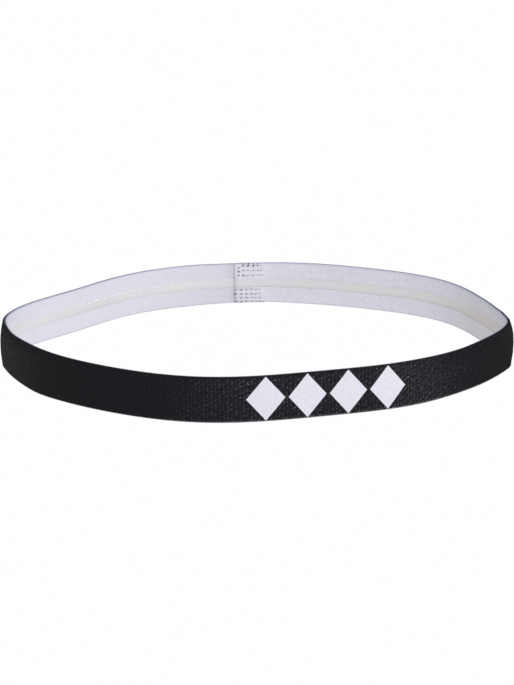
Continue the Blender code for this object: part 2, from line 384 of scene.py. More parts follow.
def tube(path, radii, sides=8):
    """A closed round thread through points: (verts, polygon lists, uv)."""
    path = np.asarray(path, float)
    tangent = unit(np.gradient(path, axis=0))
    side = np.cross(tangent, np.array([0.0, 0.0, 1.0]))
    upright = np.linalg.norm(side, axis=1) < 1e-3
    side[upright] = np.cross(tangent[upright], np.array([0.0, 1.0, 0.0]))
    side = unit(side)
    for i in range(1, len(side)):  # carry the frame along, so the tube doesn't twist
        carried = side[i - 1] - tangent[i] * (side[i - 1] @ tangent[i])
        if np.linalg.norm(carried) > 1e-3:
            side[i] = carried / np.linalg.norm(carried)
    other = np.cross(tangent, side)
    turn = np.arange(sides) * 2 * np.pi / sides
    radii = np.broadcast_to(np.asarray(radii, float), len(path))
    cos, sin = np.cos(turn)[None, :, None], np.sin(turn)[None, :, None]
    ring = side[:, None, :] * cos + other[:, None, :] * sin
    verts = (path[:, None, :] + ring * radii[:, None, None]).reshape(-1, 3)
    run = np.r_[0, np.cumsum(np.linalg.norm(np.diff(path, axis=0), axis=1))]
    uv = np.stack([np.repeat(run, sides), np.tile(turn / (2 * np.pi), len(path))], -1)
    return verts, tube_faces(len(path), sides), uv


def merged(parts):
    """(verts, polygon groups) of several closed parts, each (verts, polygon lists)."""
    polys, base = {}, 0
    for verts, lists in parts:
        if volume(verts, lists) < 0:
            lists = [p[:, ::-1] for p in lists]
        for p in lists:
            polys.setdefault(p.shape[1], []).append(p + base)
        base += len(verts)
    groups = [(np.concatenate(same), 0, True) for same in polys.values()]
    return np.concatenate([verts for verts, _ in parts]), groups


def joined(name, tubes, material):
    verts, groups = merged([(v, lists) for v, lists, _ in tubes])
    return new_object(name, verts, groups, [material], np.concatenate([uv for _, _, uv in tubes]))


# ------------------------------------------------------------------ materials
class Signal:
    """A node's output, with sums and products that build math nodes."""

    def __init__(self, graph, socket):
        self.graph = graph
        self.socket = socket

    def __add__(self, other):
        return self.graph.math("ADD", self, other)

    def __radd__(self, other):
        return self.graph.math("ADD", other, self)

    def __sub__(self, other):
        return self.graph.math("SUBTRACT", self, other)

    def __mul__(self, other):
        return self.graph.math("MULTIPLY", self, other)

    def ramp(self, zero, one):
        """Smooth from 0 where the signal is at zero to 1 where it is at one."""
        m = self.graph.nodes.new("ShaderNodeMapRange")
        m.interpolation_type = "SMOOTHSTEP"
        self.graph.put(m.inputs["Value"], self)
        m.inputs["From Min"].default_value = zero
        m.inputs["From Max"].default_value = one
        return Signal(self.graph, m.outputs[0])


class Graph:
    """Short-hand for building a material's nodes."""

    def __init__(self, name):
        self.mat = bpy.data.materials.new(name)
        self.mat.use_nodes = True
        self.nodes = self.mat.node_tree.nodes
        self.links = self.mat.node_tree.links

    def put(self, socket, value):
        if isinstance(value, Signal):
            self.links.new(value.socket, socket)
        elif isinstance(value, tuple):
            socket.default_value = value + (1.0,) * (len(socket.default_value) - len(value))
        else:
            socket.default_value = value

    def math(self, operation, *values):
        m = self.nodes.new("ShaderNodeMath")
        m.operation = operation
        for socket, value in zip(m.inputs, values):
            self.put(socket, value)
        return Signal(self, m.outputs[0])

    def floor(self, x):
        return self.math("FLOOR", x)

    def wave(self, turns):
        return self.math("COSINE", turns * (2 * math.pi))

    def uv(self):
        """(run, height) on the strip, or (run, turn) on a thread."""
        uv_map = self.nodes.new("ShaderNodeUVMap")
        uv_map.uv_map = "cloth"
        split = self.nodes.new("ShaderNodeSeparateXYZ")
        self.links.new(uv_map.outputs[0], split.inputs[0])
        return Signal(self, split.outputs[0]), Signal(self, split.outputs[1])

    def vec(self, x, y, z=0.0):
        c = self.nodes.new("ShaderNodeCombineXYZ")
        for socket, value in zip(c.inputs, (x, y, z)):
            self.put(socket, value)
        return Signal(self, c.outputs[0])

    def attr(self, name):
        a = self.nodes.new("ShaderNodeAttribute")
        a.attribute_name = name
        return Signal(self, a.outputs["Fac"])

    def white(self, x, y, seed):
        """A random value for each cell."""
        vector = self.vec(x, y, seed)
        w = self.nodes.new("ShaderNodeTexWhiteNoise")
        w.noise_dimensions = "3D"
        self.put(w.inputs["Vector"], vector)
        return Signal(self, w.outputs["Value"])

    def noise(self, x, y, scale, detail, rough):
        vector = self.vec(x, y)
        t = self.nodes.new("ShaderNodeTexNoise")
        t.noise_dimensions = "3D"
        self.put(t.inputs["Vector"], vector)
        t.inputs["Scale"].default_value = scale
        t.inputs["Detail"].default_value = detail
        t.inputs["Roughness"].default_value = rough
        return Signal(self, t.outputs[0])

    def mix(self, share, under, over):
        m = self.nodes.new("ShaderNodeMix")
        m.data_type = "RGBA"
        self.put(m.inputs[0], share)
        self.put(m.inputs[6], under)
        self.put(m.inputs[7], over)
        return Signal(self, m.outputs[2])

    def bump(self, height, distance, strength):
        b = self.nodes.new("ShaderNodeBump")
        self.put(b.inputs["Height"], height)
        b.inputs["Distance"].default_value = distance
        b.inputs["Strength"].default_value = strength
        return Signal(self, b.outputs[0])

    def surface(self, values):
        """Set the shader's inputs by name, and hand back the material."""
        inputs = self.nodes["Principled BSDF"].inputs
        for name, value in values.items():
            self.put(inputs[name], value)
        return self.mat


WALE, COURSE = 1.08, 1.0167  # the face's loops: along the strip, and across it
RIB = (0.664, -0.332)  # the lining's ribs, in cycles a mm along and across
ROW = 1.02  # and the rows that break them into dashes, in cycles a mm


def shifted_rim(g, u):
    """The rim attribute, moved so that the upper edge's blue lies further out or in."""
    rim = g.attr("rim")
    # The blue shows earlier behind, where it is seen from the head's side.
    behind = u.ramp(zero=114, one=100) + u.ramp(zero=336, one=350)
    edge = rim.ramp(zero=0.95, one=0.80) * 0.10
    rim = rim + behind * rim.ramp(zero=0.02, one=0.10) * edge
    # And later along the front, on both sides of its middle.
    front = u.ramp(zero=116, one=124) * u.ramp(zero=205, one=165)
    front = front + u.ramp(zero=262, one=292) * u.ramp(zero=332, one=324) * 0.75
    edge = rim.ramp(zero=0.98, one=0.86) * 0.11
    return rim - front * rim.ramp(zero=0.02, one=0.10) * edge


def black_cloth(g, u, v, cloud, cell, cell2, rim):
    """(colour, roughness, specular) of the black face."""
    base = g.mix(cloud, (0.0120, 0.0104, 0.0140), (0.0137, 0.0120, 0.0157))
    tint = g.mix(cell2, (0.0150, 0.0122, 0.0112), (0.0106, 0.0118, 0.0165))
    colour = g.mix(cell.ramp(zero=0.55, one=1.0) * 0.6, base, tint)
    # A paler nap in patches round the left end, weaker towards the top: partly nap, partly a
    # painted sheen where the cloth is seen edge-on.
    nap = g.noise(u + v * 0.35, v * 0.8, scale=1.5, detail=2.0, rough=0.6)
    nap_and_sheen = u.ramp(zero=190, one=112)
    nap_and_sheen = nap_and_sheen * nap_and_sheen * u.ramp(zero=20, one=100)
    patchy = cell * 0.20 + nap.ramp(zero=0.40, one=0.62) * 1.35
    nap_and_sheen = nap_and_sheen * (v.ramp(zero=HEIGHT + 1.5, one=HEIGHT - 4.5) * patchy)
    colour = g.mix(nap_and_sheen, colour, (0.0520, 0.0450, 0.0440))
    # The start of the upper edge's blue.
    colour = g.mix(rim.ramp(zero=0.20, one=0.44), colour, (0.034, 0.042, 0.062))
    # Deeper black round the right end, a painted shade where the lamps reach less, with patches
    # of pale nap over it.
    turned = u.ramp(zero=284, one=306) * u.ramp(zero=390, one=350)
    colour = g.mix(turned * 0.55, colour, (0.0055, 0.0046, 0.0066))
    far = u.ramp(zero=286, one=316) * u.ramp(zero=372, one=340)
    far = far * nap.ramp(zero=0.44, one=0.62)
    colour = g.mix(far * 0.34, colour, (0.0300, 0.0262, 0.0290))
    # The loops' crests shine: more before the right end, less round it.
    bright = u.ramp(zero=250, one=268) * u.ramp(zero=290, one=274) * 0.10
    bright = bright - u.ramp(zero=276, one=298) * u.ramp(zero=390, one=350) * 0.17
    crest = (g.attr("weave") + bright + (cell2 - 0.5) * 0.12).ramp(zero=0.25, one=0.60)
    return colour, 0.30 + cell * 0.12, 0.10 + crest * 0.84


def white_cloth(g, cloud, cell, rim):
    """(colour, roughness, specular) of the white patches."""
    colour = g.mix(cloud, (0.800, 0.800, 0.862), (0.825, 0.825, 0.885))
    colour = g.mix(cell.ramp(zero=0.75, one=1.0) * 0.22, colour, (0.72, 0.72, 0.80))
    colour = g.mix(rim.ramp(zero=0.20, one=0.44), colour, (0.60, 0.64, 0.76))
    return colour, 0.62 + cell * 0.2, 0.22


def face_material(name, dark):
    g = Graph(name)
    u, v = g.uv()
    # The loops' own cells: half a wale wide and half a course tall.
    column = g.floor(u * (2.0 / WALE))
    odd = g.math("MODULO", column, 2.0)
    row = g.floor(v * (2.0 / COURSE) + odd * 0.5)
    cell = g.white(column, row, seed=3.0)
    fibre = g.noise(u * 1.0, v * 0.45, scale=14.0, detail=3.0, rough=0.6)
    cloud = g.noise(u * 0.35, v, scale=0.55, detail=3.0, rough=0.55)
    rim = shifted_rim(g, u)
    if dark:
        cell2 = g.white(column, row, seed=11.0)
        colour, rough, specular = black_cloth(g, u, v, cloud, cell, cell2, rim)
    else:
        colour, rough, specular = white_cloth(g, cloud, cell, rim)
    # The upper edge pales from the print's colour to the lining's, through blue.
    colour = g.mix(rim.ramp(zero=0.42, one=0.60), colour, (0.27, 0.335, 0.44))
    colour = g.mix(rim.ramp(zero=0.66, one=0.90), colour, (0.58, 0.625, 0.75))
    colour = g.mix(rim.ramp(zero=0.99, one=1.01), colour, (0.68, 0.69, 0.77))
    # The lower edge's outer side is black.
    colour = g.mix(rim.ramp(zero=1.45, one=1.75), colour, (0.014, 0.014, 0.018))
    return g.surface({
        "Base Color": colour,
        "Roughness": rough,
        "Specular IOR Level": specular,
        "IOR": 2.0 if dark else 1.45,
        "Normal": g.bump(fibre * 0.6 + cell * 0.5, distance=0.00012, strength=0.7),
        "Sheen Weight": 0.0 if dark else 0.08,
        "Sheen Roughness": 0.4,
    })


def lining_material():
    g = Graph("cloth_lining")
    u, v = g.uv()
    rib = g.floor((u * RIB[0] + v * RIB[1]) * 2.0)
    cell = g.white(rib, g.floor(v * ROW), seed=2.0)
    fibre = g.noise(u - v * 1.2, (u + v) * 0.4, scale=9.0, detail=3.0, rough=0.6)
    cloud = g.noise(u * 0.3, v, scale=0.5, detail=3.0, rough=0.5)
    colour = g.mix(cloud, (0.785, 0.772, 0.838), (0.812, 0.798, 0.864))
    colour = g.mix(cell.ramp(zero=0.6, one=1.0) * 0.25, colour, (0.84, 0.83, 0.895))
    # Bluer along the upper and lower edges.
    from_middle = g.math("ABSOLUTE", v - HEIGHT / 2)
    edge = from_middle.ramp(zero=HEIGHT / 2 - 0.9, one=HEIGHT / 2 - 0.25)
    colour = g.mix(edge * 0.35, colour, (0.70, 0.72, 0.84))
    # Warmer behind the right end: a painted shade, where the cool lamps reach less.
    far = u.ramp(zero=400, one=345) * u.ramp(zero=300, one=330)
    colour = g.mix(far * 0.55, colour, (0.795, 0.778, 0.805))
    # Paler on the lap: painted light.
    lap_painted_light = u.ramp(zero=S_LAP_END - 3, one=S_LAP_END + 1)
    colour = g.mix(lap_painted_light * 0.55, colour, (0.905, 0.892, 0.950))
    # Greyer beside the lap on the left: painted shade.
    colour = g.mix(u.ramp(zero=68, one=14) * 0.50, colour, (0.700, 0.687, 0.745))
    # Painted shade in the weave's hollows and painted highlight on its crests.
    weave = g.attr("weave")
    colour = g.mix(weave.ramp(zero=0.45, one=0.05) * 0.38, colour, (0.64, 0.63, 0.70))
    colour = g.mix(weave.ramp(zero=0.35, one=0.95) * 0.62, colour, (0.915, 0.902, 0.955))
    return g.surface({
        "Base Color": colour,
        "Roughness": 0.68 + cell * 0.15,
        "Specular IOR Level": 0.2,
        "Normal": g.bump(fibre * 0.6 + cell * 0.3, distance=0.00008, strength=0.5),
        "Sheen Weight": 0.06,
        "Sheen Roughness": 0.4,
    })


def silicone_material():
    g = Graph("silicone")
    u, v = g.uv()
    across = g.attr("across")  # -1 at the lower edge, 1 at the upper
    drop = g.attr("drop")  # 1 on the small drops
    rib = g.wave(u * 1.32 + v * -1.68)
    cloud = g.noise(u * 0.4, v * 0.8, scale=0.9, detail=3.0, rough=0.5)
    pores = g.noise(u, v, scale=3.5, detail=2.0, rough=0.5)
    colour = g.mix(cloud, (0.770, 0.754, 0.753), (0.800, 0.784, 0.786))
    # Painted shade between the ribs, and greyer towards the upper edge.
    colour = g.mix(rib.ramp(zero=0.4, one=-1.0) * 0.16, colour, (0.70, 0.68, 0.67))
    colour = g.mix(across.ramp(zero=0.0, one=0.9) * 0.60, colour, (0.735, 0.720, 0.745))
    # A brown lower edge, stronger towards the right: a painted shadow line under the raised edge.
    edge = across.ramp(zero=-0.72, one=-0.98) * (0.06 + u.ramp(zero=200, one=320) * 0.24)
    colour = g.mix(edge, colour, (0.62, 0.585, 0.53))
    # Warmer behind the right end: a painted shade, where the cool lamps reach less.
    far = u.ramp(zero=385, one=340) * u.ramp(zero=300, one=330)
    colour = g.mix(far * 0.75, colour, (0.775, 0.735, 0.70))
    # Paler on the left, above the lower edge: painted light that lifts the shade of the line's
    # lower slope.
    near = u.ramp(zero=150, one=105) * across.ramp(zero=-1.0, one=-0.6)
    colour = g.mix(near * 0.30, colour, (0.80, 0.785, 0.795))
    # Paler still round the left end, and most so in the lower half: painted light that lifts the
    # shade of the crown's downward slope.
    end = u.ramp(zero=66, one=96) * u.ramp(zero=230, one=160)
    colour = g.mix(end * 0.5, colour, (0.835, 0.820, 0.835))
    heel = u.ramp(zero=62, one=98) * u.ramp(zero=230, one=160)
    heel = heel * across.ramp(zero=0.3, one=-0.6)
    colour = g.mix(heel * 0.62, colour, (0.875, 0.860, 0.875))
    # The drops are painted near white: a painted glint.
    colour = g.mix(drop, colour, (0.99, 0.99, 0.99))
    return g.surface({
        "Base Color": colour,
        "Roughness": 0.30 + pores * 0.18 - drop * 0.2,
        "Specular IOR Level": 0.40 + drop * 0.5,
        "Normal": g.bump(pores, distance=0.00004, strength=0.35),
    })


def thread_material(name, colour, lighter):
    """Two plies twisted together: dark lines wind round the thread."""
    g = Graph(name)
    u, v = g.uv()
    ply = g.wave(u * 2.6 + v * 2.0)
    fibre = g.noise(u * 1.0, v * 3.0, scale=18.0, detail=2.0, rough=0.6)
    return g.surface({
        "Base Color": g.mix(ply.ramp(zero=-0.2, one=1.0) * 0.7, colour, lighter),
        "Roughness": 0.62,
        "Specular IOR Level": 0.3,
        "Normal": g.bump(ply * 0.5 + fibre * 0.4, distance=0.00006, strength=0.7),
        "Sheen Weight": 0.1,
    })


def yarn_material():
    """Covered rubber: a white wrapping winds round a cream core."""
    g = Graph("covered_yarn")
    u, v = g.uv()
    wrap = g.wave(u * 3.2 + v)
    cream, white = (0.62, 0.55, 0.42), (0.80, 0.79, 0.80)
    return g.surface({
        "Base Color": g.mix(wrap.ramp(zero=-0.6, one=0.4), cream, white),
        "Roughness": 0.6,
        "Specular IOR Level": 0.3,
        "Normal": g.bump(wrap, distance=0.00006, strength=0.6),
    })


FACE_BLACK = face_material("cloth_face_black", dark=True)
FACE_WHITE = face_material("cloth_face_white", dark=False)
LINING = lining_material()
SILICONE = silicone_material()
BLACK_THREAD = thread_material(
    "thread_black", colour=(0.010, 0.010, 0.012), lighter=(0.030, 0.029, 0.034)
)
WHITE_THREAD = thread_material(
    "thread_white", colour=(0.70, 0.70, 0.77), lighter=(0.80, 0.80, 0.86)
)
YARN = yarn_material()


# ------------------------------------------------------------------ the weave
def speck(i, j, k=0.0):
    """A repeatable value from 0 to 1 for each cell."""
    v = np.sin(i * 12.9898 + j * 78.233 + k * 37.719) * 43758.5453
    return v - np.floor(v)


def grain(u, z, length, shift, pitch, along, across, turn, loose, vary=1.0, even=False):
    """Raised dashes on a slanted lattice.

    Dashes are length apart in rows pitch apart, each row moved on by shift. Each dash
    is along by across, turned by turn degrees; loose and vary scatter place and size.
    """
    row0 = np.round(z / pitch)
    out = np.zeros(np.broadcast(u, z).shape)
    cos, sin = math.cos(math.radians(turn)), math.sin(math.radians(turn))
    for row_step in (-1, 0, 1):
        q = row0 + row_step
        p0 = np.round((u - shift * q) / length)
        for dash_step in (-1, 0, 1):
            p = p0 + dash_step
            size = 0.90 + vary * (speck(p, q) - 0.5)
            if even:  # a proud dash has lower neighbours, so no patch of them stands out
                around = speck(p - 1, q) + speck(p + 1, q) + speck(p, q - 1) + speck(p, q + 1)
                size = 0.90 + vary * (speck(p, q) - 0.25 * around)
            x = u - (p * length + q * shift) - loose * length * (speck(p, q, 1.0) - 0.5)
            y = z - q * pitch - loose * pitch * (speck(p, q, 2.0) - 0.5)
            d = ((x * cos + y * sin) / along) ** 2 + ((y * cos - x * sin) / across) ** 2
            out = out + size * np.exp(-d)
    return out


def knit(u, z):
    """Relief of the face: a close grain of small loops, prouder on every other column."""
    shared = dict(length=WALE, shift=0.0, pitch=COURSE * 0.62, loose=0.17, vary=0.82, even=True)
    proud = grain(u, z, along=0.25, across=0.20, turn=66, **shared)
    low = grain(u + WALE / 2, z + 0.20, along=0.23, across=0.18, turn=114, **shared)
    return 0.79 * proud + 0.54 * low


def twill(u, z):
    """Relief of the lining: short slanted dashes, every other one prouder."""
    length = 1.16
    shared = dict(length=length, shift=0.80, pitch=0.74, turn=41, loose=0.22)
    main = grain(u, z, along=0.47, across=0.19, **shared)
    half = grain(u + length / 2, z, along=0.44, across=0.16, **shared)
    mean = 0.45
    soft = 0.55 + 0.45 * ease((u - 230) / 80)  # flatter on the left half of the loop
    return mean + soft * (0.66 * main + 0.26 * half - mean)


def selvedge(u):
    """The weft turns back at each edge in small loops."""
    return np.abs(np.cos(np.pi * u / 0.72))


# ----------------------------------------------------------- the face fabric
FACE_STEP = 0.18  # a station every sixth of a wale
ROWS_UP = 60
OUTER_ROUND, INNER_ROUND = 0.25, 0.16  # the selvedge's corners on the two sides
ROW_STEP = (HEIGHT - 2 * OUTER_ROUND) / ROWS_UP
CHANNEL_FLOOR, CHANNEL_EDGE = HALF - 0.30, 0.33  # the hollow behind the face
# A patch's half width in stations: its edges cross the grid corner to corner.
PATCH_HALF = ROWS_UP // 2
PATCHES = [11 + 65 * i for i in range(4)]  # each patch's middle, in stations from the front
KNIT_DEPTH, WANDER_DEPTH = 0.19, 0.010
SELVEDGE_UP, SELVEDGE_IN = 0.055, 0.02  # the edge loops' relief
FACE_TUCK = 0.20  # how deep the stitches sink


def face_ring():
    """(offset, height, rim, is face) round the channel, from the face's bottom row up.

    rim runs 0 to 1 over the upper edge from the outside in, and 1 to 2 along the lower one.
    """
    edge = []  # offset, distance in from the edge, rim
    r = OUTER_ROUND
    for k in (1, 2, 3, 4):
        a = math.radians(90 * k / 4)
        edge.append((HALF - r + r * math.cos(a), r - r * math.sin(a), 0.08 * k))
    edge += [(0.12, 0.0, 0.42), (-0.08, 0.0, 0.52), (-0.26, 0.0, 0.66)]
    r = INNER_ROUND
    for k in (0, 1, 2, 3):
        a = math.radians(90 + 90 * k / 3)
        edge.append((-HALF + r + r * math.cos(a), r - r * math.sin(a), 0.76 + 0.06 * k))
    edge += [(-HALF + 0.02, 0.24, 1.0), (-HALF + 0.31, CHANNEL_EDGE, 1.0)]
    edge += [(CHANNEL_FLOOR, CHANNEL_EDGE, 1.0)]
    floor_heights = np.linspace(HEIGHT - CHANNEL_EDGE, CHANNEL_EDGE, 12)[1:-1]
    ring = [(HALF, OUTER_ROUND + ROW_STEP * j, 0.0, 1) for j in range(ROWS_UP + 1)]
    ring += [(offset, HEIGHT - z, rim, 0) for offset, z, rim in edge]
    ring += [(CHANNEL_FLOOR, z, 1.0, 0) for z in floor_heights]
    ring += [(offset, z, 2.0 - rim, 0) for offset, z, rim in reversed(edge)]
    return np.array(ring, float)


def patch_faces(k, ring_size, centres):
    """The face's (polygons, slots), with the quads on the patches' edges halved."""
    quads = ring_quads(len(k), ring_size)
    station = k[:-1][:, None]
    row = np.arange(ring_size)[None, :]
    slots = np.zeros(quads.shape[:2], int)
    keep = np.ones(quads.shape[:2], bool)
    tris, tri_slots = [], []
    for centre in centres:
        # each corner's distance from the patch's middle, counted along the grid
        corners = [
            np.abs(station - centre + i) + np.abs(row - PATCH_HALF + j)
            for i, j in ((0, 0), (0, 1), (1, 1), (1, 0))
        ]
        reach = np.stack(corners, -1)
        near, far = reach.min(-1), reach.max(-1)
        slots[(far <= PATCH_HALF) & (row < ROWS_UP)] = 1
        crossed = (near < PATCH_HALF) & (far > PATCH_HALF) & (row < ROWS_UP)
        keep[crossed] = False
        for i, j in zip(*np.nonzero(crossed)):
            diagonal = np.nonzero(reach[i, j] == PATCH_HALF)[0]
            for third in range(4):
                if third not in diagonal:
                    tris.append(quads[i, j][sorted((*diagonal, third))])
                    tri_slots.append(int(reach[i, j, third] < PATCH_HALF))
    return [(quads[keep], slots[keep]), (np.array(tris), np.array(tri_slots))]


def face_piece(name, k0, k1, s0, s1):
    """A length of the face fabric from station k0 to k1, with exact ends at s0 and s1."""
    k = np.arange(k0, k1 + 1)
    u = S_FRONT + k * FACE_STEP
    s = u.copy()
    s[0], s[-1] = s0, s1
    run = s[:, None]
    ring = face_ring()
    shape = (len(s), len(ring))
    offset = np.broadcast_to(ring[:, 0], shape)
    z = np.broadcast_to(ring[:, 1], shape)
    rim, flat = ring[:, 2], ring[:, 3]
    U = np.broadcast_to(u[:, None], shape)
    relief = knit(U, z)
    wander = 0.5 + 0.5 * np.sin(U * 0.61 + 1.7 * np.sin(z * 0.8 + U * 0.07))
    edge_fade = np.clip(np.minimum(z - 0.1, HEIGHT - 0.1 - z) / 0.5, 0, 1)
    # the loops are pulled flatter along the left of the front and round the right end
    calm = 1 - 0.63 * ease((run - 35) / 75) * ease((228 - run) / 56)
    calm = calm - 0.34 * ease((run - 288) / 24) * ease((360 - run) / 25)
    sunk = KNIT_DEPTH * calm * (1 - relief) + WANDER_DEPTH * wander
    offset = offset - flat * edge_fade * sunk
    # selvedge loops, on the rounded edges
    gap = 1 - selvedge(U)
    inward = np.where(rim > 1.0, 2.0 - rim, rim)
    on_rim = np.where((inward > 0.05) & (inward < 0.97), 1.0, 0.0)
    on_inner = np.where((inward > 0.75) & (inward < 0.97), 1.0, 0.0)
    side = np.where(z > HEIGHT / 2, 1.0, -1.0)
    z = z - on_rim * side * SELVEDGE_UP * gap
    offset = offset + on_inner * SELVEDGE_IN * gap
    # the stitches draw the lap together
    tuck = pinch(run, settle(run, z))
    outer_layer = run < S_LEFT
    offset = offset - np.where(outer_layer & (offset > 0), 1.0, 0.0) * FACE_TUCK * tuck
    centres = [c for c in PATCHES if k0 < c < k1]
    return loft(
        name, s, offset, z, [FACE_BLACK, FACE_WHITE],
        uv_heights=ring[:, 1],
        body=patch_faces(k, len(ring), centres) if centres else None,
        extra={"rim": np.broadcast_to(rim, shape), "weave": relief * flat * calm},
        cap_slot=1,
    )


# ----------------------------------------------------------------- the lining
LINING_STEP, LINING_ROWS, LINING_BACK_ROWS = 0.172, 66, 12
LINING_INSET, LINING_THICK = 0.25, 0.29
TWILL_DEPTH, LINING_TUCK = 0.115, 0.17


def stations(s0, s1, step):
    return np.linspace(s0, s1, int(round((s1 - s0) / step)) + 1)


def lining_piece(name, s0, s1):
    s = stations(s0, s1, LINING_STEP)
    run = s[:, None]
    low, high = LINING_INSET, HEIGHT - LINING_INSET
    front_rows = np.linspace(low, high, LINING_ROWS + 1)
    back_rows = np.linspace(high, low, LINING_BACK_ROWS)
    ring_z = np.r_[front_rows, back_rows]
    back = np.full(LINING_BACK_ROWS, -HALF + LINING_THICK)
    ring_offset = np.r_[np.full(LINING_ROWS + 1, -HALF), back]
    shape = (len(s), len(ring_z))
    z = np.broadcast_to(ring_z, shape)
    shown = np.arange(len(ring_z)) <= LINING_ROWS
    edge_fade = np.clip(np.minimum(z - low, high - z) / 0.25, 0.15, 1)
    weave = twill(np.broadcast_to(run, shape), z)
    offset = ring_offset + np.where(shown, 1.0, 0.0) * edge_fade * TWILL_DEPTH * (1 - weave)
    tuck = pinch(run, settle(run, z))
    inner_layer = run > S_RIGHT
    offset = offset + np.where(inner_layer & shown[None, :], 1.0, 0.0) * LINING_TUCK * tuck
    return loft(name, s, offset, z, [LINING], uv_heights=z, extra={"weave": weave})


# ----------------------------------------------------------- the silicone line
GRIP_STEP, GRIP_HALF = 0.22, 1.50
GRIP_ACROSS = np.array([  # the section's points, -1 at its lower edge and 1 at its upper
    -1.0, -0.97, -0.90, -0.80, -0.66, -0.5, -0.33, -0.16, 0,
    0.16, 0.33, 0.5, 0.66, 0.80, 0.90, 0.97, 1.0,
])
GRIP_BASE = np.linspace(1.0, -1.0, 7)  # and back along its base
# Thickest low down, thinning out towards the upper edge: place across, height.
GRIP_CROWN = (
    (-1, 0), (-0.93, 0.04), (-0.80, 0.09), (-0.5, 0.15),
    (0.0, 0.15), (0.5, 0.11), (0.86, 0.06), (1.0, 0.0),
)
BEAD_START, BEAD_END = 8.0, 112.0
BEAD_RINGS, BEAD_SIDES = 7, 10


def grip_middle(s):
    """The silicone line wanders a little from the middle of the webbing."""
    return 6.48 + 0.08 * np.sin(s * 0.031 + 3.2) + 0.06 * np.sin(s * 0.083 + 2.0)


def bead(s, z, strength):
    """An ellipsoid on the lining, open at its poles but for flat caps."""
    long_half = 0.15 + 0.30 * strength
    wide_half = 0.13 + 0.20 * strength
    tall_half = 0.06 + 0.20 * strength
    point, normal, tangent = place(s)
    out = -HALF - 0.10 + float(lean(s, z))
    verts = []
    for k in range(1, BEAD_RINGS):
        lat = math.pi * k / BEAD_RINGS
        for m in range(BEAD_SIDES):
            lon = 2 * math.pi * m / BEAD_SIDES
            along = math.sin(lat) * math.cos(lon) * long_half
            up = math.sin(lat) * math.sin(lon) * wide_half
            outward = out - math.cos(lat) * tall_half
            verts.append([*(point + tangent * along + normal * outward), z + up])
    return np.array(verts), tube_faces(BEAD_RINGS - 1, BEAD_SIDES)


def beads(s0, s1):
    """Small drops along the line's upper edge, on the left of the loop."""
    made = []
    s = max(s0, BEAD_START)
    i = 0
    while s < min(s1, BEAD_END):
        i += 1
        strength = math.exp(-(((s - 58.0) / 24.0) ** 2)) * (0.60 + 0.70 * speck(i, 5.0))
        if strength > 0.12:
            z = float(grip_middle(s)) + GRIP_HALF * 0.68 + 0.16 * (speck(i, 7.0) - 0.5)
            made.append(bead(s, z, strength))
        s += 1.45 + 1.0 * speck(i, 3.0)
    return made


def grip_piece(name, s0, s1):
    s = stations(s0, s1, GRIP_STEP)
    section = np.r_[GRIP_ACROSS, GRIP_BASE]
    shape = (len(s), len(section))
    T = np.broadcast_to(section, shape)
    S = np.broadcast_to(s[:, None], shape)
    ragged = 0.055 * np.sin(S * 4.17 + 0.5) * np.sin(S * 1.31) + 0.03 * np.sin(S * 8.9)
    z = grip_middle(s)[:, None] + GRIP_HALF * T + ragged * T**3
    crown = np.interp(GRIP_ACROSS, *zip(*GRIP_CROWN))
    # the lower edge is thinner on the left
    heel = np.where(T < -0.75, 0.25 + 0.75 * ease((S - 200) / 120), 1.0)
    lift = np.r_[crown, np.zeros(len(GRIP_BASE))] * heel
    ribs = twill(S, z)
    offset = -HALF - 0.01 - lift * (0.85 + 0.25 * ribs)
    offset = offset + np.where(lift > 0, 0.05, 0.0) * (0.5 - ribs)
    offset = np.where(np.arange(len(section)) < len(GRIP_ACROSS), offset, -HALF + 0.05)
    line = laid(s, offset, z).reshape(-1, 3)
    drops = beads(s0, s1)
    uv = [np.stack([S, z], -1).reshape(-1, 2)]
    uv += [np.stack([np.full(len(v), 0.5), v[:, 2]], -1) for v, _ in drops]
    across = [T.ravel()] + [np.full(len(v), 0.5) for v, _ in drops]
    drop = [np.zeros(len(line))] + [np.ones(len(v)) for v, _ in drops]
    verts, groups = merged([(line, tube_faces(*shape))] + drops)
    extra = {"across": np.concatenate(across), "drop": np.concatenate(drop)}
    return new_object(name, verts, groups, [SILICONE], np.concatenate(uv), extra)


# -------------------------------------------------------------- the core yarns
YARN_HEIGHTS = (1.20, 2.35, 3.60, 4.85, 5.85, 6.85, 7.85, 9.40, 10.95)
YARN_POINTS, YARN_INSET = 900, 0.02


def core_yarn(number, height):
    s = np.linspace(YARN_INSET, LENGTH - YARN_INSET, YARN_POINTS)
    wobble = 0.02 * np.sin(s * 2.1 + number)
    path = laid(s, wobble[:, None], np.full((len(s), 1), height))[:, 0]
    return joined(f"yarn_{number:02d}", [tube(path, 0.17 + 0.012 * np.cos(s * 5.0))], YARN)


# ----------------------------------------------------------------- the threads
OVER = LAP_OFFSET + HALF - PRESS  # from the loop's line to either face of the lap


def lap_point(x, out, z):
    if out < 0:  # the head side follows the rolled cut edge
        roll = float(rolled(LENGTH - (x - FIRST_X + EDGE_MARGIN)))
        out = out + (2 * HALF + ROLL_SHIFT) * roll
    p = raw(np.array(lap_deg(x))) - MIDDLE + LAP_NORMAL * out
    return [p[0], p[1], z]


